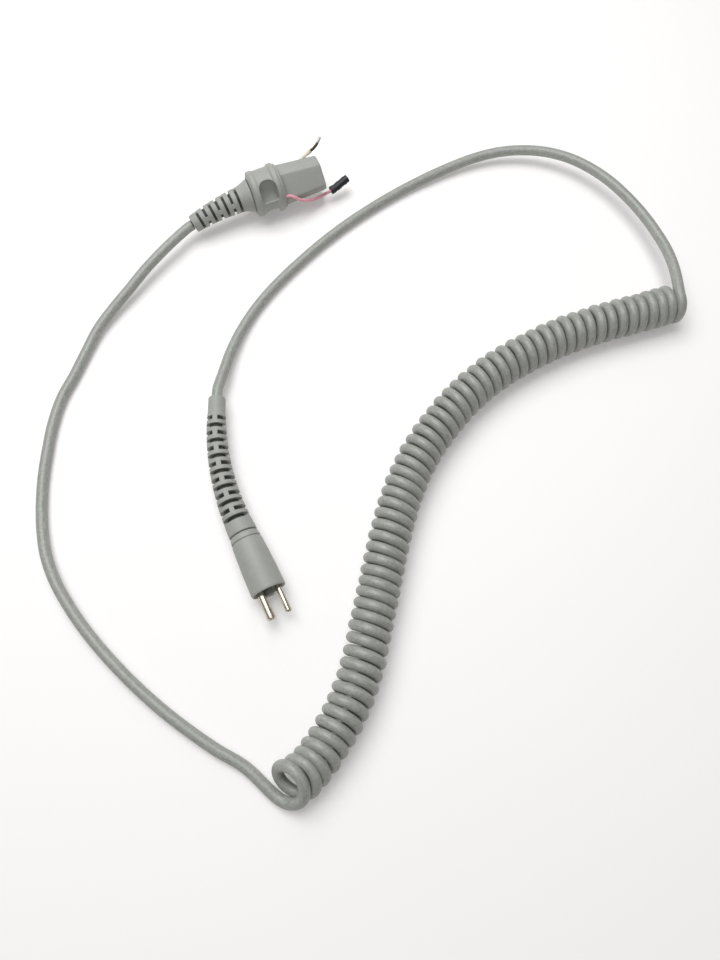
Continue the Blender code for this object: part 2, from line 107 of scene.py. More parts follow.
BOOT_NECK = 5.3
BOOT_LEVELS = 14
BOOT_PITCH = 3.25
BOOT_BEND = math.radians(24)
BOOT_COLLAR = 8.0
PLUG_SLOT = 1.75
PLUG_SLOTS_LEAD = 0.8           # how far before the neck's end the first level starts
END_SLOT = 1.2
END_SLOT_ROLL = math.radians(-20)
WEB = 1.9                       # what is left standing between a pair of slots
BOOT_SIDES = 72
OUTER_STEP = 1.2                # longest distance between two rings of a boot's wall
INNER_STEP = 1.5
SKIN = 0.06                     # air between a boot's wall and the core inside it

PLUG_CORE_START = 19.6          # the core's first ring, behind the plug's rim
PLUG_CORE = (3.5, 2.5)          # radius at the first slots and at the last
END_CORE_START = 4.2            # the same, in front of the handpiece collar's back face
END_CORE = (4.2, 3.1)
CORE_STEP = 0.8
CORE_SIDES = 32

END_X = 13.0
END_Y = 80.4
END_TURN = math.radians(-3.0)
END_ROLL = math.radians(40)
END_NECK = 4.6
END_LEVELS = 7
END_PITCH = 3.1
END_TIP = 1.9
END_DROOP = (2.2, 2.8)          # how far the boot's tip hangs aside and down
COLLAR_RADIUS = 10.5            # height of the collar's axis over the table
FLANGE_RADIUS = 10.15
POCKET_FLOOR = 5.6              # the pockets' floor, from the collar's axis
POCKET_MIDDLE = 7.0             # the pockets' middle, along the collar
POCKET_TURN = math.radians(4.5)
FLOOR_WINDOW = (6.8, 4.9, 2.3, 0.8)     # width, height, radius of the crown, of the corners
MOUTH_WINDOW = (7.7, 9.3, 3.4, 0.9)
FLOOR_OFFSET = 1.9              # which leaves the sloping upper wall
MOUTH_HEIGHT = 2.3
SPIGOT_RADIUS = 4.9
SPIGOT_BACK = 12.7
TONGUE_BASE = 13.9              # the front face of the collar
TONGUE_GAP = 0.05
TONGUE_LENGTH = 19.0
TONGUE_ROOT = (16.8, 12.6)
TONGUE_TIP = (14.6, 11.4)
TONGUE_LEAN = -0.3              # the tip's shift across
TIP_ROUND = 1.1
UPPER_CHAMFER = 4.3             # legs of the tongue's cut corners
LOWER_CHAMFER = 1.9
EDGE_RADIUS = 1.5               # rounding of the tongue's long edges
CORNER_STEPS = 6

LEAD_RADIUS = 0.65
LEAD_SIDES = 20
LEAD_STEP = 0.5
PINK_EXIT = (-5.2, 6.2)
CLEAR_EXIT = (4.2, -7.2)
HOLE_RADIUS = 1.0
SLEEVE_RADIUS = 1.68
SLEEVE_BORE = 1.15
SLEEVE_STEPS = 24
FRAYED_STEPS = 9                # the clear insulation's last rings, which open out
STRANDS = 7                     # six round a middle one
STRAND_RADIUS = 0.21
STRAND_SPREAD = 0.42
STRAND_STEPS = 32
TINNED_FROM = (11.6, -7.4, 37.4)

# --- the cord's route, millimetres ------------------------------------------------------
PLUG_RUN = [
    (-34.9, 3.7, 6.2), (-31.4, 8.1, 5.4), (-24.7, 16.5, 4.1), (-17.2, 24.1, 3.0),
    (-8.7, 30.8, 2.4), (0.5, 36.4, 2.2), (10.3, 41.1, 2.2), (20.3, 45.2, 2.2),
    (30.4, 48.9, 2.2), (40.8, 52.2, 2.2), (51.3, 54.9, 2.2), (61.9, 57.1, 2.2),
    (72.6, 58.8, 2.3), (83.4, 59.9, 2.6), (94.2, 60.4, 3.1), (105.0, 60.3, 3.7),
    (115.7, 59.3, 4.5), (126.1, 56.8, 5.4), (135.8, 52.5, 6.2), (144.5, 46.3, 7.1),
    (151.6, 38.3, 8.0), (157.0, 28.9, 8.6), (160.8, 18.7, 9.0), (163.0, 8.1, 9.3),
    (164.0, -2.7, 9.7), (163.6, -13.5, 10.4), (161.9, -24.1, 11.6), (158.4, -34.3, 13.1),
]
TAIL_RUN = [
    (-79.2, -144.3, 2.2), (-81.6, -138.4, 2.2), (-84.4, -133.2, 2.2), (-89.9, -125.7, 2.4),
    (-95.8, -116.3, 2.6), (-101.3, -106.6, 2.8), (-106.2, -96.7, 3.0), (-110.6, -86.5, 3.1),
    (-114.5, -76.0, 3.3), (-117.8, -65.3, 3.5), (-120.3, -54.4, 3.6), (-121.9, -43.3, 3.5),
    (-122.0, -32.2, 3.0), (-120.2, -21.3, 2.4), (-117.0, -10.7, 2.2), (-112.8, -0.3, 2.2),
    (-107.7, 9.8, 2.2), (-102.1, 19.6, 2.2), (-95.4, 28.6, 2.2), (-87.3, 36.2, 2.2),
    (-79.4, 44.1, 2.4), (-71.2, 51.8, 3.0), (-61.8, 57.9, 3.9), (-52.0, 63.1, 5.1),
    (-42.3, 68.5, 6.2), (-32.6, 73.2, 6.9), (-24.5, 76.7, 7.3),
]
# The coil's axis over the table: turn number, x, y
COIL_AXIS = [
    (0, -73.0, -147.0), (2, -63.5, -145.5), (4, -55.0, -141.5), (7, -43.5, -134.0),
    (10, -33.5, -125.0), (14, -22.0, -111.0), (19, -9.0, -94.5), (24, 5.0, -77.5),
    (29, 21.0, -62.5), (34, 41.0, -50.5), (39, 63.0, -42.5), (44, 86.5, -39.5),
    (49, 110.0, -40.0), (54, 133.5, -43.5), (58.5, 152.4, -46.5),
]
TURNS = 58.5
POINTS_PER_TURN = 30
# How the first turns fan open: turn number, then degrees or millimetres
RING_YAW = [(0, 10), (1.5, 13), (4, 11), (8, 6), (14, 0), (TURNS, 0)]
RING_LEAN = [(0, 41), (1.5, 38), (3, 23), (5, 13), (8, 9), (14, 0), (TURNS, 0)]
RING_RADIUS = [(0, 7.0), (1, 6.7), (2.5, 6.0), (5, 6.05), (TURNS, 6.05)]
ENTRY_TURNS = (0.0, 0.07, 0.14)  # what each run's curve shares with the coil
SQUEEZE = 0.945                 # the jacket's width along the coil, where turns press
EASE_TURNS = 0.8                # how soon that squeeze sets in
# The pull on the tail opens the turns next to it: the ones past the plug stay where they lie
PULLED_TURNS = 18.5
PULL_SPREAD = 1.15

# --- colours ----------------------------------------------------------------------------
JACKET_GREY = (0.362, 0.374, 0.347)
MOULDED_GREY = (0.37, 0.38, 0.357)
# the contact block's grey is the moulded grey darkened: painted shade of the hollow inside the shell
BLOCK_SHADE_GREY = (0.25, 0.255, 0.24)
# near-black core inside the boots: painted shade where the slots show only shadow
CORE_SHADE_GREY = (0.055, 0.055, 0.052)
NICKEL = (0.78, 0.725, 0.61)
NICKEL_EDGE = (0.22, 0.17, 0.12)
PINK = (0.84, 0.38, 0.46)
CREAM = (0.86, 0.80, 0.62)
SLEEVE_BLACK = (0.014, 0.015, 0.02)
STRAND_BROWN = (0.16, 0.12, 0.085)
TINNED = (0.72, 0.72, 0.70)
SOLDER = (0.62, 0.62, 0.61)


# --- materials --------------------------------------------------------------------------
def start_material(name, colour, roughness, metallic=0.0):
    made = bpy.data.materials.new(name)
    made.use_nodes = True
    shader = made.node_tree.nodes["Principled BSDF"]
    shader.inputs["Base Color"].default_value = (*colour, 1.0)
    shader.inputs["Roughness"].default_value = roughness
    shader.inputs["Metallic"].default_value = metallic
    return made, made.node_tree, shader


def coordinates(tree, output, scale=(1.0, 1.0, 1.0)):
    """Object or UV coordinates, in metres, stretched by a scale."""
    source = tree.nodes.new("ShaderNodeTexCoord")
    mapping = tree.nodes.new("ShaderNodeMapping")
    mapping.inputs["Scale"].default_value = scale
    tree.links.new(source.outputs[output], mapping.inputs["Vector"])
    return mapping.outputs["Vector"]


def noise(tree, vector, scale, detail=2.0, roughness=0.5):
    node = tree.nodes.new("ShaderNodeTexNoise")
    node.inputs["Scale"].default_value = scale
    node.inputs["Detail"].default_value = detail
    node.inputs["Roughness"].default_value = roughness
    tree.links.new(vector, node.inputs["Vector"])
    return node.outputs["Fac"]


def shades(tree, factor, colour, spread, low=0.3, high=0.7):
    """A colour that wanders a little darker and lighter with a factor."""
    ramp = tree.nodes.new("ShaderNodeValToRGB")
    ramp.color_ramp.elements[0].position = low
    ramp.color_ramp.elements[0].color = (*(c * (1 - spread) for c in colour), 1.0)
    ramp.color_ramp.elements[1].position = high
    ramp.color_ramp.elements[1].color = (*(c * (1 + spread) for c in colour), 1.0)
    tree.links.new(factor, ramp.inputs["Fac"])
    return ramp.outputs["Color"]


def multiply_colours(tree, first, second):
    mix = tree.nodes.new("ShaderNodeMix")
    mix.data_type = "RGBA"
    mix.blend_type = "MULTIPLY"
    mix.inputs[0].default_value = 1.0
    tree.links.new(first, mix.inputs[6])
    tree.links.new(second, mix.inputs[7])
    return mix.outputs[2]


def spread_value(tree, factor, low, high):
    """A number that wanders between two values with a factor."""
    node = tree.nodes.new("ShaderNodeMapRange")
    node.inputs["From Min"].default_value = 0.25
    node.inputs["From Max"].default_value = 0.75
    node.inputs["To Min"].default_value = low
    node.inputs["To Max"].default_value = high
    tree.links.new(factor, node.inputs["Value"])
    return node.outputs["Result"]


def add_bump(tree, shader, heights):
    """A chain of bumps, each one (height output, strength, distance in metres)."""
    normal = None
    for height, strength, distance in heights:
        bump = tree.nodes.new("ShaderNodeBump")
        bump.inputs["Strength"].default_value = strength
        bump.inputs["Distance"].default_value = distance
        tree.links.new(height, bump.inputs["Height"])
        if normal:
            tree.links.new(normal, bump.inputs["Normal"])
        normal = bump.outputs["Normal"]
    tree.links.new(normal, shader.inputs["Normal"])


def jacket_material():
    """Extruded soft PVC: drawn streaks along the cord, a mottled matte bloom, fine grain."""
    made, tree, shader = start_material("grey_cord_jacket", JACKET_GREY, 0.55)
    along = coordinates(tree, "UV", (2400.0, 240.0, 1.0))
    solid = coordinates(tree, "Object")
    streaks = noise(tree, along, 1.0, 3.0, 0.6)
    mottle = noise(tree, solid, 900.0, 4.0, 0.6)
    clouds = noise(tree, solid, 45.0, 2.0)
    grain = noise(tree, solid, 2600.0, 2.0)
    body = shades(tree, mottle, JACKET_GREY, 0.16)
    lines = shades(tree, streaks, (0.93, 0.93, 0.93), 0.14)
    drift = shades(tree, clouds, (0.97, 0.97, 0.965), 0.03)
    colour = multiply_colours(tree, body, lines)
    colour = multiply_colours(tree, colour, drift)
    tree.links.new(colour, shader.inputs["Base Color"])
    tree.links.new(spread_value(tree, streaks, 0.34, 0.56), shader.inputs["Roughness"])
    add_bump(tree, shader, [(streaks, 0.3, 0.00006), (grain, 0.35, 0.00004)])
    shader.inputs["Specular IOR Level"].default_value = 0.75
    return made


def moulded_material(name, colour, roughness, grain_depth=0.00003):
    """Injection-moulded soft plastic with a spark-eroded grain."""
    made, tree, shader = start_material(name, colour, roughness)
    solid = coordinates(tree, "Object")
    clouds = noise(tree, solid, 90.0, 3.0)
    specks = noise(tree, solid, 900.0, 3.0, 0.6)
    grain = noise(tree, solid, 3200.0, 2.0)
    body = shades(tree, specks, colour, 0.045)
    drift = shades(tree, clouds, (0.97, 0.97, 0.965), 0.03)
    tree.links.new(multiply_colours(tree, body, drift), shader.inputs["Base Color"])
    rough = spread_value(tree, specks, roughness - 0.06, roughness + 0.07)
    tree.links.new(rough, shader.inputs["Roughness"])
    add_bump(tree, shader, [(specks, 0.15, 0.00008), (grain, 0.35, grain_depth)])
    shader.inputs["Specular IOR Level"].default_value = 0.45
    return made


def metal_material(name, colour, roughness, scratch=(60.0, 4000.0, 4000.0)):
    """Plated metal with faint drawn scratches along one direction."""
    made, tree, shader = start_material(name, colour, roughness, 1.0)
    lines = noise(tree, coordinates(tree, "Object", scratch), 1.0, 3.0, 0.6)
    tarnish = noise(tree, coordinates(tree, "Object"), 500.0, 3.0)
    tree.links.new(shades(tree, tarnish, colour, 0.08), shader.inputs["Base Color"])
    rough = spread_value(tree, tarnish, roughness - 0.06, roughness + 0.08)
    tree.links.new(rough, shader.inputs["Roughness"])
    add_bump(tree, shader, [(lines, 0.12, 0.00002)])
    shader.inputs["Specular Tint"].default_value = (*NICKEL_EDGE, 1.0)
    return made


def insulation_material(name, colour, roughness, clearness):
    """Thin extruded lead insulation, glossier than the jacket."""
    made, tree, shader = start_material(name, colour, roughness)
    waves = noise(tree, coordinates(tree, "Object"), 500.0, 3.0)
    tree.links.new(shades(tree, waves, colour, 0.1), shader.inputs["Base Color"])
    add_bump(tree, shader, [(waves, 0.25, 0.00008)])
    shader.inputs["Transmission Weight"].default_value = clearness
    return made


def sleeve_material():
    """Shrunk black tubing, creased and matt."""
    made, tree, shader = start_material("black_shrink_sleeve", SLEEVE_BLACK, 0.5)
    solid = coordinates(tree, "Object")
    creases = noise(tree, solid, 700.0, 4.0, 0.6)
    tree.links.new(shades(tree, creases, SLEEVE_BLACK, 0.35), shader.inputs["Base Color"])
    tree.links.new(spread_value(tree, creases, 0.38, 0.6), shader.inputs["Roughness"])
    add_bump(tree, shader, [(creases, 0.5, 0.00012)])
    return made


def floor_material():
    """A pale table with a faint drift, lit a little from within."""
    made, tree, shader = start_material("pale_table", FLOOR_COLOUR, 0.7)
    clouds = noise(tree, coordinates(tree, "Object"), 6.0, 2.0)
    tree.links.new(shades(tree, clouds, FLOOR_COLOUR, 0.006), shader.inputs["Base Color"])
    shader.inputs["Specular IOR Level"].default_value = 0.2
    shader.inputs["Emission Color"].default_value = (*GLOW_COLOUR, 1.0)
    shader.inputs["Emission Strength"].default_value = FLOOR_GLOW
    return made


# --- centre lines -----------------------------------------------------------------------
class Line:
    """A smooth curve through points in millimetres, read by its arc length."""

    STEPS = 24

    def __init__(self, points):
        knots = [Vector(p) for p in points]
        first = knots[0] * 2 - knots[1]
        last = knots[-1] * 2 - knots[-2]
        knots = [first, *knots, last]
        self.points = []
        for i in range(1, len(knots) - 2):
            for k in range(self.STEPS):
                self.points.append(self.between(knots[i - 1:i + 3], k / self.STEPS))
        self.points.append(knots[-2])
        self.at = [0.0]
        for a, b in zip(self.points, self.points[1:]):
            self.at.append(self.at[-1] + (b - a).length)
        self.length = self.at[-1]

    @staticmethod
    def between(four, t):
        a, b, c, d = four
        return 0.5 * (2 * b + (c - a) * t + (2 * a - 5 * b + 4 * c - d) * t ** 2
                      + (3 * b - a - 3 * c + d) * t ** 3)

    def place(self, distance):
        """The point at a distance along the curve, which may run past either end."""
        if distance <= 0:
            return self.points[0] + (self.points[0] - self.points[1]).normalized() * -distance
        if distance >= self.length:
            step = (self.points[-1] - self.points[-2]).normalized()
            return self.points[-1] + step * (distance - self.length)
        low = 0
        high = len(self.at) - 1
        while high - low > 1:
            middle = (low + high) // 2
            if self.at[middle] <= distance:
                low = middle
            else:
                high = middle
        part = (distance - self.at[low]) / (self.at[high] - self.at[low])
        return self.points[low].lerp(self.points[high], part)

    def knot(self, number):
        """Distance along the curve of one of the points it was made from."""
        return self.at[number * self.STEPS]

    def frame(self, distance):
        """Matrix whose Z runs along the curve and whose Y is as near upright as it can be."""
        ahead = self.place(distance + 0.5) - self.place(distance - 0.5)
        return frame_along(self.place(distance), ahead)


def frame_along(point, direction):
    z = direction.normalized()
    x = Vector((0, 0, 1)).cross(z).normalized()
    y = z.cross(x)
    turn = Matrix((x, y, z)).transposed().to_4x4()
    return Matrix.Translation(point) @ turn


def shift(x=0.0, y=0.0, z=0.0):
    return Matrix.Translation((x, y, z))


def plug_frame():
    """Origin at the plug's rim; Z runs back into the plug, X across the pins, Y down."""
    front = frame_along(Vector((PLUG_X, PLUG_FACE_Y, SHELL_RADIUS)), Vector((0, 1, 0)))
    return front @ Matrix.Rotation(math.pi, 4, "Z")


def plug_line():
    """From the front rim back along the shell, through the bent boot to the collar's end."""
    straight = SHELL_LENGTH + GAP + BOOT_NECK
    radius = BOOT_LEVELS * BOOT_PITCH / BOOT_BEND
    points = [(PLUG_X, PLUG_FACE_Y + s, SHELL_RADIUS) for s in (0.0, 10.0, 20.0, straight)]
    for k in range(1, 9):
        a = BOOT_BEND * k / 8
        points.append((PLUG_X + radius * (1 - math.cos(a)),
                       PLUG_FACE_Y + straight + radius * math.sin(a), SHELL_RADIUS))
    x, y, z = points[-1]
    for s in (BOOT_COLLAR / 2, BOOT_COLLAR):
        points.append((x + s * math.sin(BOOT_BEND), y + s * math.cos(BOOT_BEND), z))
    return Line(points)


def end_frame():
    """Origin at the collar's back face, Z towards the handpiece, Y up."""
    direction = Vector((math.cos(END_TURN), math.sin(END_TURN), 0))
    return frame_along(Vector((END_X, END_Y, COLLAR_RADIUS)), direction)


def rolled_frame():
    return end_frame() @ Matrix.Rotation(END_ROLL, 4, "Z")


def end_boot_line():
    """From the collar's back face, through the drooping boot to its tip."""
    length = END_NECK + END_LEVELS * END_PITCH + END_TIP
    points = []
    for k in range(9):
        t = k / 8
        aside, down = (droop * t ** 2 for droop in END_DROOP)
        points.append(end_frame() @ Vector((-aside, -down, -length * t)))
    return Line(points)


# --- mesh tools -------------------------------------------------------------------------
def circle(radius, sides):
    angles = [2 * math.pi * i / sides for i in range(sides)]
    return [(radius * math.cos(a), radius * math.sin(a)) for a in angles]


def arc(x, y, radius, start, sweep, steps):
    """Points round a centre, both ends included."""
    angles = [start + sweep * k / steps for k in range(steps + 1)]
    return [(x + radius * math.cos(a), y + radius * math.sin(a)) for a in angles]


def loft(sections, shape=None, hoop=False):
    """A body through (frame, outline) sections; a hoop joins its last ring to its first."""
    shape = shape or bmesh.new()
    rings = []
    for place, outline in sections:
        rings.append([shape.verts.new((place @ Vector((x, y, 0))) * MM) for x, y in outline])
    pairs = list(zip(rings, rings[1:]))
    if hoop:
        pairs.append((rings[-1], rings[0]))
    else:
        shape.faces.new(rings[0])
        shape.faces.new(rings[-1])
    for a, b in pairs:
        for i in range(len(a)):
            j = (i + 1) % len(a)
            shape.faces.new((a[i], a[j], b[j], b[i]))
    return shape


def turned(place, profile, sides, shape=None, hoop=False):
    """Round sections: profile is (distance along the frame's Z, radius)."""
    return loft([(place @ shift(z=z), circle(r, sides)) for z, r in profile], shape, hoop)


def box(place, size, shape):
    x, y, z = (s / 2 for s in size)
    outline = [(-x, -y), (x, -y), (x, y), (-x, y)]
    return loft([(place @ shift(z=-z), outline), (place @ shift(z=z), outline)], shape)


def rounded(profile, radius, steps=4):
    """A profile whose inner corners are turned into arcs of a radius."""
    result = [profile[0]]
    for before, corner, after in zip(profile, profile[1:], profile[2:]):
        corner = Vector(corner)
        back = Vector(before) - corner
        ahead = Vector(after) - corner
        reach = min(radius, 0.45 * back.length, 0.45 * ahead.length)
        start = corner + back.normalized() * reach
        stop = corner + ahead.normalized() * reach
        for k in range(steps + 1):
            t = k / steps
            point = start * (1 - t) ** 2 + corner * 2 * t * (1 - t) + stop * t ** 2
            result.append(tuple(point))
    result.append(profile[-1])
    return result


def add_piece(name, shape, finish, sharp=35):
    """Put a bmesh into the scene as an object with a material."""
    bmesh.ops.recalc_face_normals(shape, faces=shape.faces)
    mesh = bpy.data.meshes.new(name)
    shape.to_mesh(mesh)
    shape.free()
    mesh.shade_smooth()
    mesh.set_sharp_from_angle(angle=math.radians(sharp))
    made = bpy.data.objects.new(name, mesh)
    bpy.context.scene.collection.objects.link(made)
    if finish:
        mesh.materials.append(finish)
    return made


def settle(made):
    """Give an object the mesh that its modifiers make, and drop the modifiers."""
    graph = bpy.context.evaluated_depsgraph_get()
    done = bpy.data.meshes.new_from_object(made.evaluated_get(graph))
    made.modifiers.clear()
    made.data = done
    done.shade_smooth()
    done.set_sharp_from_angle(angle=SHARP)


def carve(made, shape, operation="DIFFERENCE"):
    """Cut a bmesh out of an object, or join it on."""
    tool = add_piece("cutter", shape, None)
    step = made.modifiers.new("carve", "BOOLEAN")
    step.operation = operation
    step.solver = "EXACT"
    step.object = tool
    settle(made)
    bpy.data.objects.remove(tool)


def soften(made, width, segments=2, angle=40):
    """Round the edges that a mould or a blade leaves slightly soft."""
    step = made.modifiers.new("soften", "BEVEL")
    step.width = width * MM
    step.segments = segments
    step.limit_method = "ANGLE"
    step.angle_limit = math.radians(angle)
    step.miter_outer = "MITER_ARC"
    settle(made)


def tube_rings(centres, radii, sides, flat_axis):
    """Points of a tube's rings, each turned as the one before it."""
    count = len(centres)
    tangents = np.gradient(centres, axis=0)
    tangents /= np.linalg.norm(tangents, axis=1)[:, None]
    across = np.cross((0.0, 0.0, 1.0), tangents[0])
    across /= np.linalg.norm(across)
    angles = np.arange(sides) * 2 * math.pi / sides
    rings = np.empty((count, sides, 3))
    for i in range(count):
        across -= tangents[i] * (across @ tangents[i])
        across /= np.linalg.norm(across)
        up = np.cross(tangents[i], across)
        ring = radii[i] * (np.cos(angles)[:, None] * across + np.sin(angles)[:, None] * up)
        if flat_axis is not None:
            ring -= np.outer(ring @ flat_axis[i], flat_axis[i])
        rings[i] = centres[i] + ring
    return rings


def map_tube(mesh, centres, sides):
    """A UV map of metres round a cord and along it."""
    along = np.r_[0.0, np.cumsum(np.linalg.norm(np.diff(centres, axis=0), axis=1))] * MM
    round_step = 2 * math.pi * CORD_RADIUS * MM / sides
    layer = mesh.uv_layers.new(name="along_cord")
    for number in range((len(centres) - 1) * sides):
        i, k = divmod(number, sides)
        corners = ((k, i), (k + 1, i), (k + 1, i + 1), (k, i + 1))
        for offset, (u, v) in enumerate(corners):
            layer.data[number * 4 + offset].uv = (u * round_step, along[v])


def tube(name, centres, radii, sides, finish, flat_axis=None):
    """A capped tube through centre points (millimetres) with no twist along it.

    flat_axis gives, for each centre, a vector along which the section is pressed in:
    its length says by how much.
    """
    centres = np.array(centres, float)
    count = len(centres)
    rings = tube_rings(centres, radii, sides, flat_axis)
    faces = []
    for i in range(count - 1):
        for k in range(sides):
            n = (k + 1) % sides
            faces.append((i * sides + k, i * sides + n, (i + 1) * sides + n, (i + 1) * sides + k))
    faces.append(tuple(range(sides))[::-1])
    faces.append(tuple((count - 1) * sides + k for k in range(sides)))
    mesh = bpy.data.meshes.new(name)
    mesh.from_pydata((rings.reshape(-1, 3) * MM).tolist(), [], faces)
    map_tube(mesh, centres, sides)
    mesh.update()
    mesh.shade_smooth()
    mesh.set_sharp_from_angle(angle=SHARP)
    mesh.materials.append(finish)
    made = bpy.data.objects.new(name, mesh)
    bpy.context.scene.collection.objects.link(made)
    return made


def sampled(line, start, stop, step):
    """Evenly spaced points of a line, about a step apart."""
    count = max(round((stop - start) / step), 2)
    return [line.place(start + (stop - start) * k / count) for k in range(count + 1)]


def rigid(made, body, *nodes):
    """A stiff piece that rides on a body in place of CAD nodes."""
    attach(made, body)
    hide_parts(*nodes)


def bending(made, still, moving, start, end, *nodes):
    """A soft piece that bends from one body to the next."""
    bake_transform(made, still, moving, start=tuple(start * MM), end=tuple(end * MM))
    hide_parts(*nodes)


# --- camera, light and table ------------------------------------------------------------
def add_camera():
    data = bpy.data.cameras.new("camera")
    data.lens = CAMERA_LENS
    data.sensor_width = 36.0
    data.clip_start = 0.01
    camera = bpy.data.objects.new("camera", data)
    camera.location = CAMERA_PLACE
    aim = Vector(CAMERA_TARGET) - Vector(CAMERA_PLACE)
    camera.rotation_euler = aim.to_track_quat("-Z", "Y").to_euler()
    bpy.context.scene.collection.objects.link(camera)
    bpy.context.scene.camera = camera


def add_area_light(name, watts, size, place):
    data = bpy.data.lights.new(name, "AREA")
    data.energy = watts
    data.size = size
    light = bpy.data.objects.new(name, data)
    light.location = place
    aim = Vector(LIGHT_AIM) - Vector(place)
    light.rotation_euler = aim.to_track_quat("-Z", "Y").to_euler()
    bpy.context.scene.collection.objects.link(light)


def add_studio():
    scene = bpy.context.scene
    scene.view_settings.view_transform = "Standard"
    world = bpy.data.worlds.new("studio")
    scene.world = world
    world.use_nodes = True
    sky = world.node_tree.nodes["Background"]
    sky.inputs["Color"].default_value = (*SKY_COLOUR, 1.0)
    sky.inputs["Strength"].default_value = AMBIENT
    add_area_light("top_light", *TOP_LIGHT)
    add_area_light("key_light", *KEY_LIGHT)
    add_area_light("back_light", *BACK_LIGHT)
    shape = bmesh.new()
    bmesh.ops.create_grid(shape, x_segments=1, y_segments=1, size=TABLE_REACH)
    add_piece("table", shape, floor_material())


# --- cord -------------------------------------------------------------------------------
def read_table(table, turn):
    """A value that changes evenly from one row of a table to the next."""
    turns = [row[0] for row in table]
    return float(np.interp(turn, turns, [row[1] for row in table]))


def coil_axis(turn):
    """Point of the coil's axis over the table at a turn number, and its slope."""
    turns = [row[0] for row in COIL_AXIS]
    points = [Vector((row[1], row[2], 0.0)) for row in COIL_AXIS]
    slopes = []
    for i in range(len(turns)):
        low = max(i - 1, 0)
        high = min(i + 1, len(turns) - 1)
        slopes.append((points[high] - points[low]) / (turns[high] - turns[low]))
    i = 0
    while i < len(turns) - 2 and turn > turns[i + 1]:
        i += 1
    span = turns[i + 1] - turns[i]
    t = (turn - turns[i]) / span
    point = (points[i] * (2 * t ** 3 - 3 * t ** 2 + 1) + slopes[i] * span * (t ** 3 - 2 * t ** 2 + t)
             + points[i + 1] * (3 * t ** 2 - 2 * t ** 3) + slopes[i + 1] * span * (t ** 3 - t ** 2))
    slope = slopes[i] * (1 - t) + slopes[i + 1] * t
    return point, slope.normalized()


def coil_point(turn):
    """Centre of the jacket at a turn number, and the direction of the coil there."""
    centre, ahead = coil_axis(turn)
    yaw = math.radians(read_table(RING_YAW, turn))
    lean = math.radians(read_table(RING_LEAN, turn))
    radius = read_table(RING_RADIUS, turn)
    # No two turns of a real coil are quite alike
    radius += 0.07 * math.sin(turn * 2.39) + 0.05 * math.sin(turn * 5.13 + 1.0)
    yaw += math.radians(0.9 * math.sin(turn * 1.71 + 0.6) + 0.6 * math.sin(turn * 4.37))
    ahead = Matrix.Rotation(yaw, 3, "Z") @ ahead
    side = ahead.cross(Vector((0, 0, 1)))
    up = Vector((0, 0, math.cos(lean))) + ahead * math.sin(lean)
    angle = math.pi - 2 * math.pi * turn
    middle = centre + Vector((0, 0, CORD_RADIUS + radius * math.cos(lean)))
    return middle + radius * (math.cos(angle) * up + math.sin(angle) * side), ahead


def plug_run_centres(plug_axis):
    """From the plug boot over the table to the coil's last turn."""
    collar = plug_axis.frame(plug_axis.length)
    leave = [collar @ Vector((0, 0, GAP)), collar @ Vector((0, 0, CORD_STUB))]
    into_coil = [coil_point(TURNS - back)[0] for back in ENTRY_TURNS]
    run = Line(leave + PLUG_RUN + into_coil)
    return sampled(run, 0.0, run.knot(len(leave) + len(PLUG_RUN)), RUN_STEP)


def tail_run_centres(end_axis):
    """From the coil's first turn over the table to the handpiece boot."""
    boot_end = end_axis.frame(end_axis.length)
    arrive = [boot_end @ Vector((0, 0, CORD_STUB)), boot_end @ Vector((0, 0, GAP))]
    out_of_coil = [coil_point(on)[0] for on in reversed(ENTRY_TURNS)]
    run = Line(out_of_coil + TAIL_RUN + arrive)
    return sampled(run, run.knot(len(ENTRY_TURNS) - 1), run.length, RUN_STEP)


def cord_route(plug_axis, end_axis):
    """Centres of the jacket, each one's share in the tail's motion, and how it is pressed."""
    centres = plug_run_centres(plug_axis)
    share = [0.0] * len(centres)
    press = [(0.0, 0.0, 0.0)] * len(centres)
    rings = round(TURNS * POINTS_PER_TURN)
    for k in range(1, rings):
        turn = TURNS * (1 - k / rings)
        point, ahead = coil_point(turn)
        ease = min(1.0, (TURNS - turn) / EASE_TURNS, turn / EASE_TURNS)
        centres.append(point)
        share.append(max(1 - turn / PULLED_TURNS, 0.0) ** PULL_SPREAD)
        press.append(tuple(ahead * math.sqrt((1 - SQUEEZE) * ease)))
    tail = tail_run_centres(end_axis)
    centres += tail
    share += [1.0] * len(tail)
    press += [(0.0, 0.0, 0.0)] * len(tail)
    return centres, share, press


def build_cord(plug_axis, end_axis, finish):
    """One jacket: the run from the plug boot, the coil, the run to the handpiece boot."""
    centres, share, press = cord_route(plug_axis, end_axis)
    radii = [CORD_RADIUS] * len(centres)
    cord = tube("cord_jacket", centres, radii, CORD_SIDES, finish, np.array(press))
    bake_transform(cord, "cord", "tail", start=tuple(centres[0] * MM), end=tuple(centres[-1] * MM))
    weights = cord.data.attributes["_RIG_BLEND"].data
    weights.foreach_set("value", np.repeat(share, CORD_SIDES).astype(np.float32))
    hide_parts("cord_plug_run", "cord_coil", "cord_tail_run")


